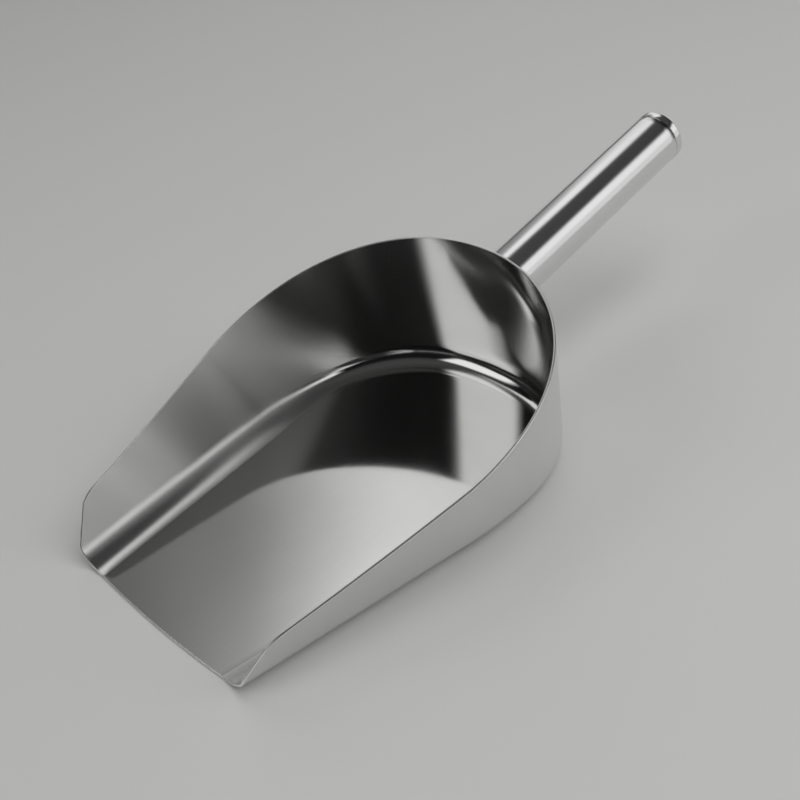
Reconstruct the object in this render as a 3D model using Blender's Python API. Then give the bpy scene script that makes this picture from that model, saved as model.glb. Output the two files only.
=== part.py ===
"""Ice scoop: a pressed steel pan with a round tubular handle welded to its rear wall.

Frame: metres, +Z up, the pan's flat base on z = 0. The mouth faces -Y, the handle runs to +Y, and x = 0
is the plane of symmetry. Sizes along the pan are measured from its lip; the row's origin lies on the
base, ORIGIN_FROM_LIP behind the lip.
"""

import math
from dataclasses import dataclass

import bmesh
import bpy
from mathutils import Matrix, Vector
from mathutils.bvhtree import BVHTree

GAP = 0.0003  # clearance between pieces that touch
ORIGIN_FROM_LIP = 0.100


@dataclass(frozen=True)
class Outline:
    """Plan outline of the pan at one level: straight sides that open towards a rounded rear."""

    half_angle: float  # angle between a side and the centre line
    half_width: float  # of the rounded rear
    depth: float  # from the rear's centre to its rearmost point
    centre: float  # distance of that centre behind the lip
    exponent: float  # 2 is an ellipse, more is squarer

    def rear(self, fraction):
        """Point and outward normal on the rounded rear, 0 where the side ends, 1 on the centre line."""
        turn = -self.half_angle + fraction * (math.pi / 2 + self.half_angle)
        normal = Vector((math.cos(turn), math.sin(turn)))
        dual = self.exponent / (self.exponent - 1)
        across = abs(self.half_width * normal.x)
        along = abs(self.depth * normal.y)
        support = (across**dual + along**dual) ** (1 / dual)
        point = Vector((
            self.half_width * (across / support) ** (dual - 1) * math.copysign(1, normal.x),
            self.depth * (along / support) ** (dual - 1) * math.copysign(1, normal.y),
        ))
        return point + Vector((0, self.centre)), normal

    def side(self, fraction):
        """Point and outward normal on the straight side, 0 level with the lip, 1 where the rear starts."""
        end, normal = self.rear(0)
        start = Vector((end.x - end.y * math.tan(self.half_angle), 0))
        return start.lerp(end, fraction), normal


# Pan
SHEET = 0.0010
REAR_CORNER = 0.0078  # inside radius between the floor and the rear wall
SIDE_CORNER = (0.0170, 0.0090)  # inside radii along the sides: next to the floor, next to the wall
CORNER_TURN = math.radians(40)  # slope at which the first radius hands over to the second
SIDE_CORNER_END, REAR_CORNER_START = 0.100, 0.160  # the side's corner changes into the rear's between these
FLOOR = Outline(math.radians(7.67), 0.0660, 0.0716, 0.1242, 2.4)  # where the walls' planes meet the floor
RIM = Outline(math.radians(11.92), 0.0789, 0.0789, 0.1109, 2.1)  # inside edge of the rim
RIM_HEIGHT, RIM_SLOPE, RIM_SWEEP = 0.0224, 0.190, 0.41  # height + slope * y + sweep * y^2
LIP_BOW = 0.0013  # the lip is bowed forwards by this much at its middle
FRONT_CUT_START, FRONT_CUT_SLOPE = 0.0086, 0.70  # the walls' front edges lean back above this height
FRONT_CUT_ROUND = 0.0010  # how softly they start to
FRONT_CORNER, FRONT_CORNER_DROP = 0.018, 26.0  # the rim drops towards the cut in front of this distance
SIDE_STEPS, REAR_STEPS, CORNER_STEPS, WALL_STEPS, FLOOR_STEPS = 10, 26, 8, 6, 8

# Handle
HANDLE_RADIUS = 0.0125
HANDLE_WALL = 0.0012
HANDLE_TILT = math.radians(11.76)
HANDLE_ROOT = Vector((0, 0.1899, 0.0478))  # on the handle's axis, at the rear wall
HANDLE_REACH = 0.1312  # from the root to the cap's outer face
HANDLE_SIDES = 48

# End cap
CAP_RIM = 0.0045  # height of the cap outside the tube
CAP_EDGE = 0.0010  # rounding of its outer edge
CAP_PLUG = 0.0080  # length of its skirt inside the tube
CAP_SHEET = 0.0012
CAP_EDGE_STEPS = 4

# Weld bead, its section as (share of the width outwards, share of the height along the tube)
WELD_WIDTH = 0.0024
WELD_SECTION = ((0, 0), (1, 0), (0.86, 0.34), (0.42, 0.80), (0, 1))

HANDLE_FRAME = Matrix.Translation(HANDLE_ROOT) @ Matrix.Rotation(HANDLE_TILT - math.pi / 2, 4, "X")


def clear_scene():
    """Remove every object of the open scene."""
    for found in list(bpy.data.objects):
        bpy.data.objects.remove(found, do_unlink=True)


def steel(name, colour, roughness):
    """Return a bare steel material."""
    material = bpy.data.materials.new(name)
    material.use_nodes = True
    shader = material.node_tree.nodes["Principled BSDF"]
    shader.inputs["Base Color"].default_value = (*colour, 1)
    shader.inputs["Metallic"].default_value = 1.0
    shader.inputs["Roughness"].default_value = roughness
    return material


def link(name, shape, material, parent):
    """Turn a bmesh into a smooth-shaded object under its parent."""
    mesh = bpy.data.meshes.new(name)
    shape.to_mesh(mesh)
    shape.free()
    mesh.materials.append(material)
    mesh.shade_smooth()
    mesh.set_sharp_from_angle(angle=math.radians(35))
    piece = bpy.data.objects.new(name, mesh)
    bpy.context.scene.collection.objects.link(piece)
    piece.parent = parent
    return piece


def empty(name, placement, parent=None):
    """Add an empty that carries the frame of a sub-assembly."""
    frame = bpy.data.objects.new(name, None)
    bpy.context.scene.collection.objects.link(frame)
    frame.parent = parent
    frame.matrix_local = placement
    return frame


def rim_height(y):
    """Height of the rim above the base, before its front corner is trimmed."""
    return RIM_HEIGHT + RIM_SLOPE * y + RIM_SWEEP * y**2


def corner_trim(y):
    """Height trimmed off the rim where it runs down to the front cut."""
    return FRONT_CORNER_DROP * max(0.0, FRONT_CORNER - y) ** 2


def front_edge(z):
    """Distance of the wall's front edge behind the lip at height z."""
    above = z - FRONT_CUT_START
    return FRONT_CUT_SLOPE * (above + math.hypot(above, FRONT_CUT_ROUND)) / 2


def corner_radii(y):
    """The corner's two radii at a distance behind the lip."""
    share = min(1.0, max(0.0, (REAR_CORNER_START - y) / (REAR_CORNER_START - SIDE_CORNER_END)))
    share *= share * (3 - 2 * share)
    return [REAR_CORNER + (radius - REAR_CORNER) * share for radius in SIDE_CORNER]


def corner_spot(radii, slope):
    """Distance outwards and upwards from the corner's start to its spot of the given slope."""
    lower, upper = radii
    turn = min(slope, CORNER_TURN)
    out = lower * math.sin(turn) + upper * (math.sin(slope) - math.sin(turn))
    up = lower * (1 - math.cos(turn)) + upper * (math.cos(turn) - math.cos(slope))
    return out, up


def pan_point(outline_at, place, row):
    """Point of the pan's inside surface.

    outline_at picks the side or the rear of an outline, place is the fraction along it, and row counts
    up the section: the corner first, then the wall up to the rim.
    """
    foot, normal = outline_at(FLOOR)(place)
    top, _ = outline_at(RIM)(place)
    rise = rim_height(top.y) - SHEET
    lean = math.atan((top - foot).dot(normal) / rise)
    tangent = Vector((-normal.y, normal.x))
    radii = corner_radii(foot.y)
    corner_out, corner_up = corner_spot(radii, math.pi / 2 - lean)
    if row <= CORNER_STEPS:
        out, up = corner_spot(radii, (math.pi / 2 - lean) * row / CORNER_STEPS)
        out += corner_up * math.tan(lean) - corner_out
    else:
        wall = rise - corner_trim(top.y) - corner_up
        up = corner_up + wall * (row - CORNER_STEPS) / WALL_STEPS
        out = up * math.tan(lean)
    along = (top - foot).dot(tangent) * up / rise
    plan = foot + normal * out + tangent * along
    return Vector((plan.x, plan.y, SHEET + up))


def side_start(row):
    """Fraction along the side at which a row meets the wall's front edge."""
    place = 0.0
    for _ in range(12):
        point = pan_point(lambda outline: outline.side, place, row)
        place += (front_edge(point.z) - point.y) / FLOOR.centre
    return place


def pan_row(row):
    """Points of one row of the right-hand half, from the mouth to the centre line."""
    start = side_start(row)
    points = []
    for step in range(SIDE_STEPS):
        place = start + (1 - start) * step / SIDE_STEPS
        points.append(pan_point(lambda outline: outline.side, place, row))
    for step in range(REAR_STEPS + 1):
        points.append(pan_point(lambda outline: outline.rear, step / REAR_STEPS, row))
    points[-1].x = 0.0
    return points


def scoop_pan(parent):
    """The pressed pan: its inside surface, thickened outwards to the sheet."""
    shape = bmesh.new()
    columns = SIDE_STEPS + REAR_STEPS
    rows = []
    for row in range(CORNER_STEPS + WALL_STEPS + 1):
        right = pan_row(row)
        left = [Vector((-point.x, point.y, point.z)) for point in right[:-1]]
        rows.append([shape.verts.new(point) for point in left + right[::-1]])
    for lower, upper in zip(rows, rows[1:]):
        for column in range(2 * columns):
            shape.faces.new((lower[column + 1], lower[column], upper[column], upper[column + 1]))

    edge = rows[0]
    strips = []
    for column in range(columns):
        left, right = edge[column], edge[2 * columns - column]
        strip = [left]
        for step in range(1, FLOOR_STEPS):
            across = step / FLOOR_STEPS
            point = left.co.lerp(right.co, across)
            if column == 0:
                point.y -= LIP_BOW * (1 - (2 * across - 1) ** 2)
            strip.append(shape.verts.new(point))
        strips.append(strip + [right])
    for near, far in zip(strips, strips[1:]):
        for step in range(FLOOR_STEPS):
            shape.faces.new((near[step], near[step + 1], far[step + 1], far[step]))
    for step in range(FLOOR_STEPS):
        shape.faces.new((strips[-1][step], strips[-1][step + 1], edge[columns]))

    bmesh.ops.recalc_face_normals(shape, faces=shape.faces)
    shape.faces.ensure_lookup_table()
    if shape.faces[-1].normal.z < 0:
        bmesh.ops.reverse_faces(shape, faces=shape.faces)
    piece = link("scoop_pan", shape, steel("pan_steel", (0.62, 0.62, 0.61), 0.14), parent)
    thickness = piece.modifiers.new("sheet", "SOLIDIFY")
    thickness.thickness = SHEET
    thickness.offset = -1.0
    thickness.use_even_offset = True
    return piece


def ring_solid(name, rings, material, parent, closed):
    """A solid made of rings of points, each bridged to the next.

    A closed solid runs round to its first ring again; an open one ends in two flat faces.
    """
    shape = bmesh.new()
    loops = [[shape.verts.new(point) for point in ring] for ring in rings]
    pairs = list(zip(loops, loops[1:]))
    if closed:
        pairs.append((loops[-1], loops[0]))
    else:
        shape.faces.new(loops[0])
        shape.faces.new(loops[-1])
    for first, second in pairs:
        for side in range(HANDLE_SIDES):
            after = (side + 1) % HANDLE_SIDES
            shape.faces.new((first[side], first[after], second[after], second[side]))
    bmesh.ops.recalc_face_normals(shape, faces=shape.faces)
    return link(name, shape, material, parent)


def ring(radius, reach):
    """Ring of points about the handle's axis; reach gives each one's distance along it."""
    points = []
    for side in range(HANDLE_SIDES):
        turn = 2 * math.pi * side / HANDLE_SIDES
        spot = Vector((radius * math.cos(turn), radius * math.sin(turn), 0))
        points.append(spot + Vector((0, 0, reach(spot))))
    return points


class RearWall:
    """The outside of the pan's rear wall, as the handle's pieces meet it."""

    def __init__(self, pan):
        depsgraph = bpy.context.evaluated_depsgraph_get()
        self.surface = BVHTree.FromObject(pan, depsgraph)
        self.to_handle = HANDLE_FRAME.inverted()

    def distance(self, spot):
        """Distance along the handle's axis at which the line through spot clears the wall."""
        start = HANDLE_FRAME @ Vector((spot.x, spot.y, HANDLE_REACH))
        towards_pan = HANDLE_FRAME.to_3x3() @ Vector((0, 0, -1))
        hit = self.surface.ray_cast(start, towards_pan)[0]
        return (self.to_handle @ hit).z + GAP


def handle_tube(wall, parent):
    """The tube, open at both ends and cut to the rear wall's curve."""
    inner = HANDLE_RADIUS - HANDLE_WALL
    end = HANDLE_REACH - CAP_RIM - GAP
    rings = [
        ring(HANDLE_RADIUS, wall.distance),
        ring(HANDLE_RADIUS, lambda spot: end),
        ring(inner, lambda spot: end),
        ring(inner, wall.distance),
    ]
    return ring_solid("handle_tube", rings, steel("tube_steel", (0.60, 0.60, 0.60), 0.18), parent, True)


def handle_weld(wall, parent):
    """The weld bead in the corner between the tube and the rear wall."""
    rings = []
    for outwards, along in WELD_SECTION:
        radius = HANDLE_RADIUS + GAP + WELD_WIDTH * outwards
        height = WELD_WIDTH * along
        rings.append(ring(radius, lambda spot, height=height: wall.distance(spot) + height))
    return ring_solid("handle_weld", rings, steel("weld_steel", (0.50, 0.49, 0.47), 0.35), parent, True)


def end_cap(parent):
    """The pressed cap: a round-edged disc outside the tube and a skirt inside it."""
    skirt = HANDLE_RADIUS - HANDLE_WALL - GAP
    seam = HANDLE_REACH - CAP_RIM
    section = []
    for step in range(CAP_EDGE_STEPS + 1):
        turn = math.pi / 2 * step / CAP_EDGE_STEPS
        section.append((
            HANDLE_RADIUS - CAP_EDGE * (1 - math.sin(turn)),
            HANDLE_REACH - CAP_EDGE * (1 - math.cos(turn)),
        ))
    section += [
        (HANDLE_RADIUS, seam),
        (skirt, seam),
        (skirt, seam - CAP_PLUG),
        (skirt - CAP_SHEET, seam - CAP_PLUG),
        (skirt - CAP_SHEET, HANDLE_REACH - CAP_SHEET),
    ]
    rings = [ring(radius, lambda spot, reach=reach: reach) for radius, reach in section]
    return ring_solid("end_cap", rings, steel("cap_steel", (0.60, 0.60, 0.60), 0.16), parent, False)


def main():
    """Build the scoop."""
    clear_scene()
    scoop = empty("scoop", Matrix.Translation((0, -ORIGIN_FROM_LIP, 0)))
    handle = empty("handle", HANDLE_FRAME, scoop)
    wall = RearWall(scoop_pan(scoop))
    handle_tube(wall, handle)
    handle_weld(wall, handle)
    end_cap(handle)


main()
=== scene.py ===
"""Looks of the ice scoop: a polished steel pan, its tubular handle, the weld between them and the end cap.

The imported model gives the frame: metres, +Z up, the flat base on z = 0, the mouth towards -Y and the
handle towards +Y. Sizes along the pan are measured from its lip.
"""

import logging
import math
from dataclasses import dataclass, field
from enum import Enum
from typing import Callable, ClassVar, Iterable, Sequence, Union

import bmesh
import bpy
from mathutils import Matrix, Vector
from mathutils.bvhtree import BVHTree


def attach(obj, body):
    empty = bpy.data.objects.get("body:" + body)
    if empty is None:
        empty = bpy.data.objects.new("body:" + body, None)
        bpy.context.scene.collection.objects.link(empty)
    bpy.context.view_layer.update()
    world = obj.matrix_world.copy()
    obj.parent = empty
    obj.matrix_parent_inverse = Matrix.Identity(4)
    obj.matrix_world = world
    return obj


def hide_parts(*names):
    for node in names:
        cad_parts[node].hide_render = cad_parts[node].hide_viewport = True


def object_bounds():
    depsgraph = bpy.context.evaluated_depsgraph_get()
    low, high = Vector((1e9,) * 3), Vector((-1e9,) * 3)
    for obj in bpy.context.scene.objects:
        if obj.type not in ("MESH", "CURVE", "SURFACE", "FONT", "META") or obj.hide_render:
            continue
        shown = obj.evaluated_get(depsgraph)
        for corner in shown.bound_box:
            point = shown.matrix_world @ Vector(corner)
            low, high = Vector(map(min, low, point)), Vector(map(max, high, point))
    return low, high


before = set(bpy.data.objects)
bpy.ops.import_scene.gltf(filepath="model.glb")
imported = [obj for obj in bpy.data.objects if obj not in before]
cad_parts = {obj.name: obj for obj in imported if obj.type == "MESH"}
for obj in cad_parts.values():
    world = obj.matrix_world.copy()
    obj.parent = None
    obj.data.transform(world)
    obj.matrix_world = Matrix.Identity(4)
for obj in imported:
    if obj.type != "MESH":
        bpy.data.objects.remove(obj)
CAD_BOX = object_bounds()

LOG = logging.getLogger("ice_scoop")
LIP_TO_ORIGIN = 0.100  # the row's origin lies this far behind the lip
BODY = "root"

Value = Union["Signal", float, int]


# ------------------------------------------------------------------------------------------ shader tools


class Signal:
    """A value travelling through a material's nodes. Arithmetic on it adds Math nodes."""

    def __init__(self, nodes: "Nodes", socket: bpy.types.NodeSocket) -> None:
        """Wrap a socket.

        Args:
            nodes: The node tree that the socket belongs to.
            socket: The output socket that carries the value.
        """
        self.nodes = nodes
        self.socket = socket

    def _math(self, operation: str, first: Value, second: Value) -> "Signal":
        """Add one Math node.

        Args:
            operation: The node's operation.
            first: Its first value.
            second: Its second value.

        Returns:
            The node's result.
        """
        return self.nodes.add("ShaderNodeMath", {"operation": operation}, {0: first, 1: second})

    def __add__(self, other: Value) -> "Signal":
        """Sum."""
        return self._math("ADD", self, other)

    def __radd__(self, other: Value) -> "Signal":
        """Sum, reflected."""
        return self._math("ADD", other, self)

    def __sub__(self, other: Value) -> "Signal":
        """Difference."""
        return self._math("SUBTRACT", self, other)

    def __rsub__(self, other: Value) -> "Signal":
        """Difference, reflected."""
        return self._math("SUBTRACT", other, self)

    def __mul__(self, other: Value) -> "Signal":
        """Product."""
        return self._math("MULTIPLY", self, other)

    def __rmul__(self, other: Value) -> "Signal":
        """Product, reflected."""
        return self._math("MULTIPLY", other, self)

    def __truediv__(self, other: Value) -> "Signal":
        """Quotient."""
        return self._math("DIVIDE", self, other)

    def __rtruediv__(self, other: Value) -> "Signal":
        """Quotient, reflected."""
        return self._math("DIVIDE", other, self)

    def __abs__(self) -> "Signal":
        """Size, whatever the sign."""
        return self._math("ABSOLUTE", self, 0.0)


class Nodes:
    """The node tree of one material or of the studio's sky."""

    def __init__(self, owner: bpy.types.Material | bpy.types.World, shader: str = "Principled BSDF") -> None:
        """Open a node tree.

        Args:
            owner: The material or world that it belongs to.
            shader: The name of its shader node, which is kept.
        """
        owner.use_nodes = True
        self.tree = owner.node_tree
        self.shader = self.tree.nodes[shader]

    def add(
        self,
        kind: str,
        settings: dict[str, object] | None = None,
        inputs: dict[int | str, object] | None = None,
        output: int | str = 0,
    ) -> Signal:
        """Add a node.

        Args:
            kind: The node's type.
            settings: Its own settings, set first; "stops" fills a ramp with (place, grey) pairs.
            inputs: Values or signals for its input sockets, by name or number.
            output: The output socket that is wanted.

        Returns:
            The signal from that output.
        """
        node = self.tree.nodes.new(kind)
        for name, value in (settings or {}).items():
            if name == "stops":
                self._fill_ramp(node.color_ramp, value)
            else:
                setattr(node, name, value)
        for name, value in (inputs or {}).items():
            self.feed(node.inputs[name], value)
        return Signal(self, node.outputs[output])

    @staticmethod
    def _fill_ramp(ramp: bpy.types.ColorRamp, stops: Sequence[tuple[float, float]]) -> None:
        """Give a ramp its stops.

        Args:
            ramp: The ramp.
            stops: Pairs of place and grey level.
        """
        while len(ramp.elements) < len(stops):
            ramp.elements.new(1.0)
        for element, (place, grey) in zip(ramp.elements, stops):
            element.position = place
            element.color = (grey, grey, grey, 1.0)

    def feed(self, socket: bpy.types.NodeSocket, value: object) -> None:
        """Set an input socket.

        Args:
            socket: The input socket.
            value: A signal, which is linked, or a constant.
        """
        if isinstance(value, Signal):
            self.tree.links.new(value.socket, socket)
        else:
            socket.default_value = value

    def surface(self, name: str, value: object) -> None:
        """Set one of the shader's own sockets.

        Args:
            name: The socket's name.
            value: A signal or a constant.
        """
        self.feed(self.shader.inputs[name], value)

    def place(self) -> Signal:
        """Position on the surface, in metres."""
        return self.add("ShaderNodeTexCoord", output="Object")

    def stretched(self, place: Signal, scale: Sequence[float]) -> Signal:
        """Position scaled along each axis, to draw a pattern out into lines."""
        return self.add("ShaderNodeVectorMath", {"operation": "MULTIPLY"}, {0: place, 1: scale})

    def noise(self, place: Signal, scale: float, detail: float = 2.0, rough: float = 0.5) -> Signal:
        """Cloudy pattern from 0 to 1.

        Args:
            place: The position it is drawn at.
            scale: Patches per metre.
            detail: Finer layers added to it.
            rough: Strength of those layers.

        Returns:
            The pattern.
        """
        return self.add("ShaderNodeTexNoise", None,
                        {"Vector": place, "Scale": scale, "Detail": detail, "Roughness": rough})

    def ramp(self, value: Signal, stops: Sequence[tuple[float, float]]) -> Signal:
        """Remap a value through a ramp of greys."""
        return self.add("ShaderNodeValToRGB", {"stops": stops}, {"Fac": value})

    def fade(self, value: Signal, full: float, none: float) -> Signal:
        """Smooth step from 1 down or up to 0.

        Args:
            value: The value that drives it.
            full: Where the step is 1.
            none: Where it has reached 0.

        Returns:
            The step.
        """
        return self.add("ShaderNodeMapRange", {"interpolation_type": "SMOOTHSTEP"},
                        {"Value": value, "From Min": none, "From Max": full})

    def along(self, direction: Signal, axis: Vector) -> Signal:
        """Part of a direction that lies along an axis."""
        return self.add("ShaderNodeVectorMath", {"operation": "DOT_PRODUCT"},
                        {0: direction, 1: tuple(axis)}, output="Value")

    def tint(self, amount: Signal, low: Sequence[float], high: Sequence[float]) -> Signal:
        """Blend two colours.

        Args:
            amount: 0 gives the first, 1 the second.
            low: The first colour.
            high: The second colour.

        Returns:
            The blended colour.
        """
        return self.add("ShaderNodeMix", {"data_type": "RGBA"},
                        {"Factor": amount, 6: (*low, 1.0), 7: (*high, 1.0)}, output=2)

    def bump(self, height: Signal, strength: float, depth: float) -> Signal:
        """Normal tilted by a height pattern.

        Args:
            height: The pattern, from 0 to 1.
            strength: Share of the effect that is kept.
            depth: Height of the pattern in metres.

        Returns:
            The normal.
        """
        return self.add("ShaderNodeBump", None, {"Height": height, "Strength": strength, "Distance": depth})


# --------------------------------------------------------------------------------------------- finishes


class Gleam(Enum):
    """Shape that the polishing gives to gleams: its value is the share by which they are drawn out."""

    ROUND = 0.0
    UPRIGHT = 0.95


@dataclass(frozen=True)
class PolishedSteel:
    """Polished stainless steel with polishing lines, faint smears and a slightly wavy surface."""

    name: str
    gleam: Gleam
    colour: tuple[float, float, float]
    roughness: float
    smear: float  # how much the roughness varies
    line_scale: tuple[float, float, float]  # small along the polishing lines, large across them
    line_depth: float = 0.000002
    wave_depth: float = 0.00006
    line_layers: tuple[float, float] = (3.0, 0.6)  # how many finer layers, and how strong
    wave_scale: float = 28.0
    wave_layers: tuple[float, float] = (1.0, 0.4)
    smear_scale: float = 22.0
    smear_layers: tuple[float, float] = (4.0, 0.55)
    smear_edges: tuple[float, float] = (0.35, 0.70)  # where the smears begin and are full
    smear_shade: float = 0.93  # brightness left inside a smear or a line
    shade_share: float = 0.5  # part that smears, and lines, each have in the shade
    dull_share: float = 0.6  # part that each has in the roughness
    gleam_turn: float = 0.25  # direction gleams are drawn out in, as a share of a full turn
    rear_roughness: float | None = None  # where the pan's rear is polished differently from its sides
    rear_range: tuple[float, float] = (0.110, 0.158)  # the change, behind the lip

    def material(self) -> bpy.types.Material:
        """Make the material.

        Returns:
            The finished material.
        """
        material = bpy.data.materials.new(self.name)
        nodes = Nodes(material)
        place = nodes.place()
        lines = nodes.noise(nodes.stretched(place, self.line_scale), 1.0, *self.line_layers)
        smears = nodes.noise(place, self.smear_scale, *self.smear_layers)
        begin, full = self.smear_edges
        smears = nodes.ramp(smears, ((begin, 0.0), (full, 1.0)))
        waves = nodes.noise(place, self.wave_scale, *self.wave_layers)
        dull = tuple(self.smear_shade * part for part in self.colour)
        shade = smears * self.shade_share + lines * self.shade_share
        nodes.surface("Base Color", nodes.tint(shade, self.colour, dull))
        nodes.surface("Metallic", 1.0)
        nodes.surface("Anisotropic", self.gleam.value)
        nodes.surface("Anisotropic Rotation", self.gleam_turn)
        roughness = self.roughness + self.smear * (smears * self.dull_share + lines * self.dull_share)
        if self.rear_roughness is not None:
            rear = nodes.fade(nodes.along(place, Vector((0, 1, 0))), *reversed(self.rear_range))
            roughness = roughness - rear * (self.roughness - self.rear_roughness)
        nodes.surface("Roughness", roughness)
        height = waves + lines * (self.line_depth / self.wave_depth)
        nodes.surface("Normal", nodes.bump(height, 1.0, self.wave_depth))
        return material


# ------------------------------------------------------------------------------------------- mesh tools


def make_object(name: str, shape: bmesh.types.BMesh, material: bpy.types.Material) -> bpy.types.Object:
    """Turn a bmesh into a smooth-shaded object.

    Args:
        name: The piece's name.
        shape: The mesh being built, which is freed.
        material: Its finish.

    Returns:
        The new object.
    """
    mesh = bpy.data.meshes.new(name)
    shape.to_mesh(mesh)
    shape.free()
    mesh.materials.append(material)
    mesh.shade_smooth()
    piece = bpy.data.objects.new(name, mesh)
    bpy.context.scene.collection.objects.link(piece)
    return piece


def dress(piece: bpy.types.Object, node: str) -> None:
    """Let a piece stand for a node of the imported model.

    Args:
        piece: The piece.
        node: The node that it replaces.
    """
    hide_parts(node)
    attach(piece, BODY)
    LOG.info("built %s with %d faces", piece.name, len(piece.data.polygons))


@dataclass(frozen=True)
class Outline:
    """Plan outline of the pan at one level: straight sides that open towards a rounded rear."""

    half_angle: float
    half_width: float
    depth: float
    centre: float
    exponent: float

    def rear(self, fraction: float) -> tuple[Vector, Vector]:
        """Point and outward normal on the rounded rear.

        Args:
            fraction: 0 where the side ends, 1 on the centre line.

        Returns:
            The point and the normal.
        """
        turn = -self.half_angle + fraction * (math.pi / 2 + self.half_angle)
        normal = Vector((math.cos(turn), math.sin(turn)))
        dual = self.exponent / (self.exponent - 1)
        across = abs(self.half_width * normal.x)
        along = abs(self.depth * normal.y)
        support = (across**dual + along**dual) ** (1 / dual)
        point = Vector((
            self.half_width * (across / support) ** (dual - 1) * math.copysign(1, normal.x),
            self.depth * (along / support) ** (dual - 1) * math.copysign(1, normal.y),
        ))
        return point + Vector((0, self.centre)), normal

    def side(self, fraction: float) -> tuple[Vector, Vector]:
        """Point and outward normal on the straight side.

        Args:
            fraction: 0 level with the lip, 1 where the rear starts.

        Returns:
            The point and the normal.
        """
        end, normal = self.rear(0)
        start = Vector((end.x - end.y * math.tan(self.half_angle), 0))
        return start.lerp(end, fraction), normal


# --------------------------------------------------------------------------------------------------- pan


@dataclass
class Pan:
    """The pressed pan: one sheet with a flat floor, a rounded corner and flared walls."""

    CORNER_SLOT: ClassVar[int] = 1
    WALL_SLOT: ClassVar[int] = 2
    EDGE_SLOT: ClassVar[int] = 3

    sheet: float = 0.0010
    rear_corner: float = 0.0078
    side_corner: tuple[float, float] = (0.0170, 0.0090)
    corner_turn: float = math.radians(40)
    side_corner_end: float = 0.100
    rear_corner_start: float = 0.160
    floor: Outline = Outline(math.radians(7.67), 0.0660, 0.0716, 0.1242, 2.4)
    rim: Outline = Outline(math.radians(11.92), 0.0789, 0.0789, 0.1109, 2.1)
    rim_height: float = 0.0224
    rim_slope: float = 0.190
    rim_sweep: float = 0.41
    lip_bow: float = 0.0013
    front_cut_start: float = 0.0086
    front_cut_slope: float = 0.70
    front_cut_round: float = 0.0010
    front_corner: float = 0.018
    front_corner_drop: float = 26.0
    edge_round: float = 0.00044
    edge_segments: int = 5
    edge_angle: float = math.radians(50)  # edges sharper than this are cut edges
    front_cut_passes: int = 14  # steps in which a row is brought to the front cut
    side_steps: int = 44
    rear_steps: int = 110
    corner_steps: int = 20
    wall_steps: int = 22
    floor_steps: int = 36
    floor_finish: PolishedSteel = field(default_factory=lambda: PolishedSteel(
        "pan_floor_polish", Gleam.ROUND, (0.64, 0.64, 0.63), 0.045, 0.05, (900.0, 40.0, 900.0)))
    corner_finish: PolishedSteel = field(default_factory=lambda: PolishedSteel(
        "pan_corner_polish", Gleam.UPRIGHT, (0.78, 0.78, 0.77), 0.235, 0.025, (60.0, 60.0, 1200.0),
        line_depth=0.000001, rear_roughness=0.07))
    wall_finish: PolishedSteel = field(default_factory=lambda: PolishedSteel(
        "pan_wall_polish", Gleam.UPRIGHT, (0.82, 0.82, 0.81), 0.235, 0.025, (60.0, 60.0, 1200.0),
        line_depth=0.000001, rear_roughness=0.12))
    # The cut edge is coloured lighter than the walls of the same sheet. This is a painted highlight, so that
    # the thin rim line reads bright.
    edge_finish_painted_highlight: PolishedSteel = field(default_factory=lambda: PolishedSteel(
        "pan_cut_edge_painted_highlight", Gleam.ROUND, (0.92, 0.92, 0.91), 0.30, 0.06, (300.0, 300.0, 300.0)))

    def height_of_rim(self, y: float) -> float:
        """Height of the rim above the base.

        Args:
            y: Distance behind the lip.

        Returns:
            The height, before the front corner is trimmed.
        """
        return self.rim_height + self.rim_slope * y + self.rim_sweep * y**2

    def corner_trim(self, y: float) -> float:
        """Height trimmed off the rim where it runs down to the front cut."""
        return self.front_corner_drop * max(0.0, self.front_corner - y) ** 2

    def front_edge(self, z: float) -> float:
        """Distance of the wall's front edge behind the lip at a height."""
        above = z - self.front_cut_start
        return self.front_cut_slope * (above + math.hypot(above, self.front_cut_round)) / 2

    def corner_radii(self, y: float) -> list[float]:
        """Radii of the corner between floor and wall.

        Args:
            y: Distance behind the lip.

        Returns:
            The radius next to the floor and the one next to the wall.
        """
        share = (self.rear_corner_start - y) / (self.rear_corner_start - self.side_corner_end)
        share = min(1.0, max(0.0, share))
        share *= share * (3 - 2 * share)
        return [self.rear_corner + (radius - self.rear_corner) * share for radius in self.side_corner]

    def corner_spot(self, radii: Sequence[float], slope: float) -> tuple[float, float]:
        """Spot on the corner's section.

        Args:
            radii: The corner's two radii.
            slope: Slope of the section there.

        Returns:
            Distance outwards and upwards from where the corner leaves the floor.
        """
        lower, upper = radii
        turn = min(slope, self.corner_turn)
        out = lower * math.sin(turn) + upper * (math.sin(slope) - math.sin(turn))
        up = lower * (1 - math.cos(turn)) + upper * (math.cos(turn) - math.cos(slope))
        return out, up

    def point(self, rear: bool, place: float, row: int) -> Vector:
        """Point of the inside surface.

        Args:
            rear: True on the rounded rear, False on the straight side.
            place: Fraction along that stretch.
            row: Row of the section, the corner's first and then the wall's.

        Returns:
            The point, measured from the lip.
        """
        foot, normal = self.floor.rear(place) if rear else self.floor.side(place)
        top = (self.rim.rear(place) if rear else self.rim.side(place))[0]
        rise = self.height_of_rim(top.y) - self.sheet
        lean = math.atan((top - foot).dot(normal) / rise)
        radii = self.corner_radii(foot.y)
        corner_out, corner_up = self.corner_spot(radii, math.pi / 2 - lean)
        if row <= self.corner_steps:
            out, up = self.corner_spot(radii, (math.pi / 2 - lean) * row / self.corner_steps)
            out += corner_up * math.tan(lean) - corner_out
        else:
            wall = rise - self.corner_trim(top.y) - corner_up
            up = corner_up + wall * (row - self.corner_steps) / self.wall_steps
            out = up * math.tan(lean)
        tangent = Vector((-normal.y, normal.x))
        plan = foot + normal * out + tangent * ((top - foot).dot(tangent) * up / rise)
        return Vector((plan.x, plan.y, self.sheet + up))

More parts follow.
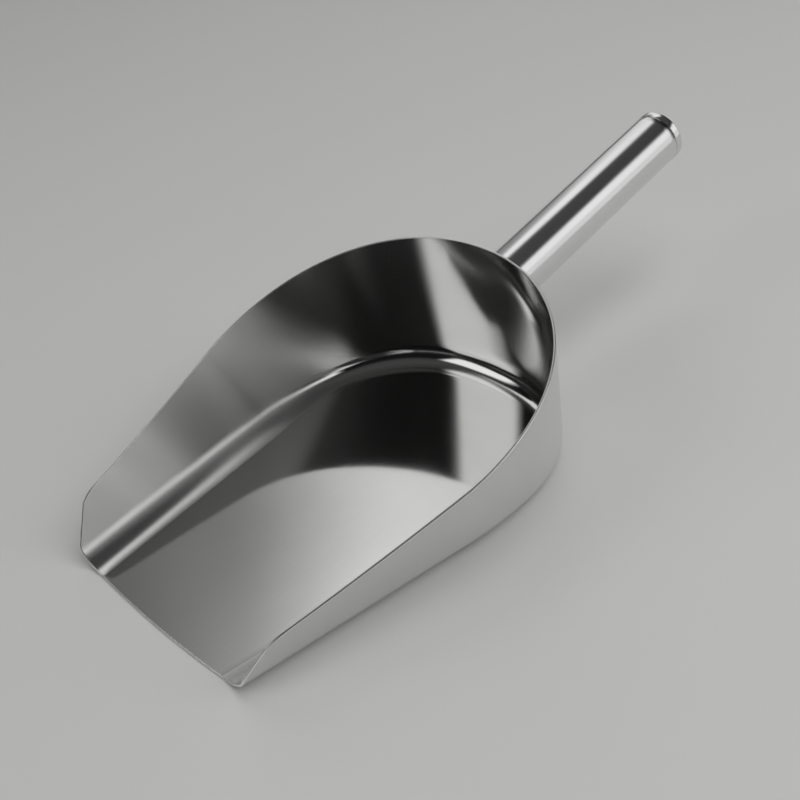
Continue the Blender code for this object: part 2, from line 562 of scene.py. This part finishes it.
    def row(self, row: int) -> list[Vector]:
        """Points of one row of the right-hand half, from the mouth to the centre line.

        Args:
            row: Row of the section.

        Returns:
            The points.
        """
        start = 0.0
        for _ in range(self.front_cut_passes):
            spot = self.point(False, start, row)
            start += (self.front_edge(spot.z) - spot.y) / self.floor.centre
        points = [
            self.point(False, start + (1 - start) * step / self.side_steps, row)
            for step in range(self.side_steps)
        ]
        points += [self.point(True, step / self.rear_steps, row) for step in range(self.rear_steps + 1)]
        points[-1].x = 0.0
        return points

    def surface(self) -> bmesh.types.BMesh:
        """Build the inside surface.

        Returns:
            The surface, its faces turned into the bowl.
        """
        shape = bmesh.new()
        columns = self.side_steps + self.rear_steps
        rows = []
        for number in range(self.corner_steps + self.wall_steps + 1):
            right = self.row(number)
            left = [Vector((-spot.x, spot.y, spot.z)) for spot in right[:-1]]
            rows.append([shape.verts.new(spot) for spot in left + right[::-1]])
        for number, (lower, upper) in enumerate(zip(rows, rows[1:])):
            for column in range(2 * columns):
                face = shape.faces.new((lower[column], lower[column + 1], upper[column + 1], upper[column]))
                corner = number < self.corner_steps
                face.material_index = self.CORNER_SLOT if corner else self.WALL_SLOT
        self.lay_floor(shape, rows[0], columns)
        bmesh.ops.recalc_face_normals(shape, faces=shape.faces)
        shape.faces.ensure_lookup_table()
        if shape.faces[-1].normal.z < 0:
            bmesh.ops.reverse_faces(shape, faces=shape.faces)
        return shape

    def lay_floor(self, shape: bmesh.types.BMesh, edge: list[bmesh.types.BMVert], columns: int) -> None:
        """Fill the floor between the two halves of its edge.

        Args:
            shape: The surface being built.
            edge: The corner's lowest row, from the left end of the lip to the right.
            columns: Steps in each half of it.
        """
        strips = []
        for column in range(columns):
            left, right = edge[column], edge[2 * columns - column]
            strip = [left]
            for step in range(1, self.floor_steps):
                across = step / self.floor_steps
                spot = left.co.lerp(right.co, across)
                if column == 0:
                    spot.y -= self.lip_bow * (1 - (2 * across - 1) ** 2)
                strip.append(shape.verts.new(spot))
            strips.append(strip + [right])
        for near, far in zip(strips, strips[1:]):
            for step in range(self.floor_steps):
                shape.faces.new((near[step], near[step + 1], far[step + 1], far[step]))
        for step in range(self.floor_steps):
            shape.faces.new((strips[-1][step], strips[-1][step + 1], edge[columns]))

    def build(self) -> bpy.types.Object:
        """Make the pan.

        Returns:
            The pan, thickened to its sheet and with its cut edges rounded.
        """
        pan = make_object("pan", self.surface(), self.floor_finish.material())
        for finish in (self.corner_finish, self.wall_finish, self.edge_finish_painted_highlight):
            pan.data.materials.append(finish.material())
        pan.location = (0, -LIP_TO_ORIGIN, 0)
        sheet = pan.modifiers.new("sheet", "SOLIDIFY")
        sheet.thickness = self.sheet
        sheet.offset = -1.0
        sheet.use_even_offset = True
        # The cut rim and its rounding take the edge finish, whose lighter colour is a painted highlight.
        sheet.material_offset_rim = self.EDGE_SLOT
        rounding = pan.modifiers.new("cut_edges", "BEVEL")
        rounding.width = self.edge_round
        rounding.segments = self.edge_segments
        rounding.limit_method = "ANGLE"
        rounding.angle_limit = self.edge_angle
        rounding.harden_normals = True
        rounding.material = self.EDGE_SLOT
        return pan


# ------------------------------------------------------------------------------------------------ handle


@dataclass
class Handle:
    """The tubular handle: tube, weld bead and end cap, on one tilted axis."""

    radius: float = 0.0125
    wall: float = 0.0012
    gap: float = 0.0003
    tilt: float = math.radians(11.76)
    root: Vector = field(default_factory=lambda: Vector((0, 0.1899, 0.0478)))
    reach: float = 0.1312
    sides: int = 160
    lengthways: int = 40
    end_round: float = 0.00025
    end_round_middle: float = 0.3  # share of the rounding left at its middle
    cap_rim: float = 0.0045
    cap_edge: float = 0.0010
    cap_plug: float = 0.0080
    cap_sheet: float = 0.0012
    cap_dome: float = 0.0004
    cap_steps: int = 8
    weld_width: float = 0.0024
    weld_ripples: int = 46
    weld_ripple_depth: float = 0.00018
    weld_steps: int = 12
    weld_fullness: float = 0.8  # 1 is a quarter circle, less is fuller
    tube_finish: PolishedSteel = field(default_factory=lambda: PolishedSteel(
        "tube_polish", Gleam.ROUND, (0.80, 0.80, 0.80), 0.16, 0.06, (1500.0, 1500.0, 12.0)))
    cap_finish: PolishedSteel = field(default_factory=lambda: PolishedSteel(
        "cap_polish", Gleam.ROUND, (0.80, 0.79, 0.78), 0.12, 0.06, (700.0, 700.0, 700.0)))
    weld_finish: PolishedSteel = field(default_factory=lambda: PolishedSteel(
        "weld_satin", Gleam.ROUND, (0.66, 0.64, 0.60), 0.28, 0.12, (400.0, 400.0, 400.0)))

    def frame(self) -> Matrix:
        """Placement of the handle's axis, +Z from the pan to the cap, in the row's frame."""
        turn = Matrix.Rotation(self.tilt - math.pi / 2, 4, "X")
        return Matrix.Translation(self.root - Vector((0, LIP_TO_ORIGIN, 0))) @ turn

    def wall_distance(self, pan: bpy.types.Object) -> Callable[[Vector], float]:
        """Find how the rear wall cuts across the handle.

        Args:
            pan: The finished pan.

        Returns:
            A function from a spot beside the axis to the distance along it that clears the wall.
        """
        surface = BVHTree.FromObject(pan, bpy.context.evaluated_depsgraph_get())
        to_pan = pan.matrix_world.inverted() @ self.frame()
        back = to_pan.inverted()
        towards = to_pan.to_3x3() @ Vector((0, 0, -1))

        def distance(spot: Vector) -> float:
            """Distance along the axis at which the line through spot clears the wall."""
            hit = surface.ray_cast(to_pan @ Vector((spot.x, spot.y, self.reach)), towards)[0]
            return (back @ hit).z + self.gap

        return distance

    def ring(self, radius: float, reach: Callable[[Vector], float]) -> list[Vector]:
        """Ring of points about the axis.

        Args:
            radius: The ring's radius.
            reach: Distance along the axis for each point.

        Returns:
            The points.
        """
        points = []
        for side in range(self.sides):
            turn = 2 * math.pi * side / self.sides
            spot = Vector((radius * math.cos(turn), radius * math.sin(turn), 0))
            points.append(spot + Vector((0, 0, reach(spot))))
        return points

    def bridged(self, name: str, rings: Iterable[list[Vector]], closed: bool,
                material: bpy.types.Material) -> bpy.types.Object:
        """Join rings into a solid.

        Args:
            name: The piece's name.
            rings: The rings, in order.
            closed: True if the last ring joins the first; otherwise both ends are filled.
            material: The piece's finish.

        Returns:
            The piece, in place.
        """
        shape = bmesh.new()
        loops = [[shape.verts.new(spot) for spot in ring] for ring in rings]
        pairs = list(zip(loops, loops[1:]))
        if closed:
            pairs.append((loops[-1], loops[0]))
        else:
            for loop in (loops[0], loops[-1]):
                centre = shape.verts.new(sum((vert.co for vert in loop), Vector()) / len(loop))
                for side in range(self.sides):
                    shape.faces.new((loop[side], loop[(side + 1) % self.sides], centre))
        for first, second in pairs:
            for side in range(self.sides):
                after = (side + 1) % self.sides
                shape.faces.new((first[side], first[after], second[after], second[side]))
        bmesh.ops.recalc_face_normals(shape, faces=shape.faces)
        piece = make_object(name, shape, material)
        piece.matrix_world = self.frame()
        return piece

    def tube(self, distance: Callable[[Vector], float]) -> bpy.types.Object:
        """The hollow tube, cut to the rear wall and with its far edge broken.

        Args:
            distance: Distance along the axis that clears the rear wall.

        Returns:
            The tube.
        """
        inner = self.radius - self.wall
        end = self.reach - self.cap_rim - self.gap
        rings = []
        for step in range(self.lengthways + 1):
            share = step / self.lengthways
            rings.append(self.ring(
                self.radius,
                lambda spot, share=share: distance(spot) * (1 - share) + (end - self.end_round) * share))
        middle = self.end_round * self.end_round_middle
        rings.append(self.ring(self.radius - middle, lambda spot: end - middle))
        rings.append(self.ring(self.radius - self.end_round, lambda spot: end))
        rings.append(self.ring(inner, lambda spot: end))
        rings.append(self.ring(inner, distance))
        return self.bridged("tube", rings, True, self.tube_finish.material())

    def weld(self, distance: Callable[[Vector], float]) -> bpy.types.Object:
        """The rippled weld bead between the tube and the rear wall.

        Args:
            distance: Distance along the axis that clears the rear wall.

        Returns:
            The bead.
        """
        rings = []
        for step in range(self.weld_steps + 1):
            turn = math.pi / 2 * step / self.weld_steps
            out, up = math.cos(turn) ** self.weld_fullness, math.sin(turn) ** self.weld_fullness
            rings.append(self.ripple(distance, out, up))
        rings.append(self.ripple(distance, 0.0, 0.0))
        return self.bridged("weld_bead", rings, True, self.weld_finish.material())

    def ripple(self, distance: Callable[[Vector], float], out: float, up: float) -> list[Vector]:
        """One ring of the bead's section, with the puddle ripples laid round it.

        Args:
            distance: Distance along the axis that clears the rear wall.
            out: Share of the bead's width away from the tube.
            up: Share of its height along the tube.

        Returns:
            The ring's points.
        """
        points = []
        crown = math.sqrt(out * up)
        for side in range(self.sides):
            turn = 2 * math.pi * side / self.sides
            wave = abs(math.sin(turn * self.weld_ripples / 2)) * self.weld_ripple_depth * crown
            radius = self.radius + self.gap + self.weld_width * out - wave
            spot = Vector((radius * math.cos(turn), radius * math.sin(turn), 0))
            points.append(spot + Vector((0, 0, distance(spot) + self.weld_width * up - wave)))
        return points

    def cap(self) -> bpy.types.Object:
        """The pressed cap: a rounded, slightly crowned disc with a skirt inside the tube.

        Returns:
            The cap.
        """
        skirt = self.radius - self.wall - self.gap
        seam = self.reach - self.cap_rim
        face = self.radius - self.cap_edge
        middle = self.end_round * self.end_round_middle
        section = []
        for step in range(1, self.cap_steps + 1):
            radius = face * step / self.cap_steps
            section.append((radius, self.reach - self.cap_dome * (radius / face) ** 2))
        for step in range(1, self.cap_steps + 1):
            turn = math.pi / 2 * step / self.cap_steps
            section.append((
                face + self.cap_edge * math.sin(turn),
                self.reach - self.cap_dome - (self.cap_edge - self.cap_dome) * (1 - math.cos(turn)),
            ))
        section += [
            (self.radius, seam + self.end_round),
            (self.radius - middle, seam + middle),
            (self.radius - self.end_round, seam),
            (skirt, seam),
            (skirt, seam - self.cap_plug),
            (skirt - self.cap_sheet, seam - self.cap_plug),
            (skirt - self.cap_sheet, self.reach - self.cap_sheet),
        ]
        rings = [self.ring(radius, lambda spot, reach=reach: reach) for radius, reach in section]
        return self.bridged("cap", rings, False, self.cap_finish.material())


# ------------------------------------------------------------------------------------------------ studio


def compass(azimuth: float, elevation: float) -> Vector:
    """Direction in the studio.

    Args:
        azimuth: Degrees from +Y towards +X.
        elevation: Degrees above the floor.

    Returns:
        The unit vector.
    """
    turn, rise = math.radians(azimuth), math.radians(elevation)
    return Vector((math.sin(turn) * math.cos(rise), math.cos(turn) * math.cos(rise), math.sin(rise)))


@dataclass(frozen=True)
class SoftPanel:
    """A bright panel with soft edges, far off in the studio. Angles are in degrees."""

    azimuth: float
    elevation: float
    width: float
    height: float
    softness: tuple[float, float]  # of the edges at its sides, and of those at its top and bottom
    brightness: float
    ahead_limit: float = 0.02  # keeps the panel from showing on the far side of the sky as well

    def glow(self, nodes: Nodes, direction: Signal) -> Signal:
        """Light that the panel sends from a direction.

        Args:
            nodes: The sky's node tree.
            direction: The direction that is looked in.

        Returns:
            The brightness.
        """
        ahead = compass(self.azimuth, self.elevation)
        right = compass(self.azimuth + 90, 0)
        up = right.cross(ahead)
        facing = nodes.along(direction, ahead)
        across = abs(nodes.along(direction, right) / facing)
        rise = abs(nodes.along(direction, up) / facing)
        shape = nodes.fade(across, *self.edge(self.width, self.softness[0]))
        shape = shape * nodes.fade(rise, *self.edge(self.height, self.softness[1]))
        return shape * nodes.fade(facing, self.ahead_limit, 0.0) * self.brightness

    @staticmethod
    def edge(size: float, softness: float) -> tuple[float, float]:
        """Where the panel is still full and where it has faded out, as tangents."""
        return math.tan(math.radians(size / 2 - softness)), math.tan(math.radians(size / 2 + softness))


@dataclass(frozen=True)
class Softbox:
    """A soft lamp over the floor. The steel doesn't mirror it: it only lights the floor."""

    name: str
    place: tuple[float, float, float]
    size: tuple[float, float]
    power: float

    def build(self) -> bpy.types.Object:
        """Hang the lamp.

        Returns:
            The lamp.
        """
        light = bpy.data.lights.new(self.name, "AREA")
        light.shape = "RECTANGLE"
        light.size, light.size_y = self.size
        light.energy = self.power
        lamp = bpy.data.objects.new(self.name, light)
        lamp.location = self.place
        lamp.rotation_euler = (-Vector(self.place)).to_track_quat("-Z", "Y").to_euler()
        lamp.visible_glossy = False
        bpy.context.scene.collection.objects.link(lamp)
        return lamp


@dataclass
class Studio:
    """The pale floor, the sky with its soft panels, the floor's lamp and the camera."""

    floor_size: float = 6.0
    floor_colour: tuple[float, float, float] = (0.80, 0.80, 0.79)
    floor_roughness: float = 0.8
    floor_gap: float = 0.0001  # between the floor and the scoop's base
    floor_segments: int = 8
    cloud_scale: float = 3.0
    cloud_layers: tuple[float, float] = (3.0, 0.5)
    cloud_shade: float = 0.97
    ceiling_edges: tuple[float, float] = (0.9, 0.6)  # heights where the ceiling is full, and has faded out
    dark: float = 0.008
    ceiling: float = 0.06
    horizon: float = 0.05
    horizon_top: tuple[float, float] = (0.02, 0.30)
    panels: tuple[SoftPanel, ...] = (
        SoftPanel(-45, 35, 18, 54, (5, 3), 0.68),
        SoftPanel(-58, 36, 22, 56, (9, 6), 0.26),
        SoftPanel(-46, 54, 24, 16, (6, 5), 0.42),
        SoftPanel(-83, 32, 12, 60, (3, 5), 0.80),
        SoftPanel(58, 15, 44, 46, (5, 8), 0.75),
        SoftPanel(56, 31, 42, 16, (5, 8), 1.10),
        SoftPanel(-152, 34, 29, 28, (7, 6), 2.00),
    )
    softboxes: tuple[Softbox, ...] = (
        Softbox("floor_softbox", (0.7, 0.2, 1.6), (1.8, 1.8), 16.0),
    )
    aim: tuple[float, float, float] = (0.0058, 0.0282, 0.0320)
    azimuth: float = 50.65
    elevation: float = 36.11
    roll: float = -8.53
    distance: float = 0.483
    lens: float = 52.2
    nearest: float = 0.01

    def lay_floor(self) -> None:
        """Lay the pale floor just under the scoop."""
        shape = bmesh.new()
        bmesh.ops.create_grid(shape, x_segments=self.floor_segments, y_segments=self.floor_segments,
                              size=self.floor_size / 2)
        material = bpy.data.materials.new("pale_floor")
        nodes = Nodes(material)
        cloud = nodes.noise(nodes.place(), self.cloud_scale, *self.cloud_layers)
        soft = tuple(self.cloud_shade * part for part in self.floor_colour)
        nodes.surface("Base Color", nodes.tint(cloud, self.floor_colour, soft))
        nodes.surface("Roughness", self.floor_roughness)
        floor = make_object("studio_floor", shape, material)
        floor.location.z = CAD_BOX[0][2] - self.floor_gap

    def light(self) -> None:
        """Paint the sky with its panels and hang the lamps."""
        world = bpy.data.worlds.new("studio_sky")
        nodes = Nodes(world, "Background")
        direction = nodes.add("ShaderNodeTexCoord", output="Generated")
        height = nodes.along(direction, Vector((0, 0, 1)))
        glow = nodes.fade(height, *self.horizon_top) * self.horizon
        glow = glow + nodes.fade(height, *self.ceiling_edges) * (self.ceiling - self.dark) + self.dark
        for panel in self.panels:
            glow = glow + panel.glow(nodes, direction)
        nodes.surface("Color", nodes.tint(glow, (0, 0, 0), (1, 1, 1)))
        bpy.context.scene.world = world
        for softbox in self.softboxes:
            softbox.build()
        bpy.context.scene.view_settings.view_transform = "Standard"

    def look(self) -> None:
        """Put the camera at the viewing angle."""
        turn, rise = math.radians(self.azimuth), math.radians(self.elevation)
        back = Vector((math.sin(turn) * math.cos(rise), -math.cos(turn) * math.cos(rise), math.sin(rise)))
        right = Vector((math.cos(turn), math.sin(turn), 0))
        up = back.cross(right)
        upright = Matrix((right, up, back)).transposed()
        camera = bpy.data.objects.new("camera", bpy.data.cameras.new("camera"))
        camera.data.lens = self.lens
        camera.data.clip_start = self.nearest
        rolled = upright @ Matrix.Rotation(math.radians(self.roll), 3, "Z")
        camera.matrix_world = Matrix.Translation(Vector(self.aim) + back * self.distance) @ rolled.to_4x4()
        bpy.context.scene.collection.objects.link(camera)
        bpy.context.scene.camera = camera

    def build(self) -> None:
        """Set up the whole studio."""
        self.lay_floor()
        self.light()
        self.look()
        LOG.info("studio ready with %d panels", len(self.panels))


def main() -> None:
    """Build the scoop and its studio."""
    logging.basicConfig(level=logging.INFO, format="%(name)s: %(message)s")
    pan = Pan().build()
    bpy.context.view_layer.update()
    dress(pan, "scoop_pan")
    handle = Handle()
    distance = handle.wall_distance(pan)
    dress(handle.tube(distance), "handle_tube")
    dress(handle.weld(distance), "handle_weld")
    dress(handle.cap(), "end_cap")
    Studio().build()


if __name__ == "__main__":
    main()
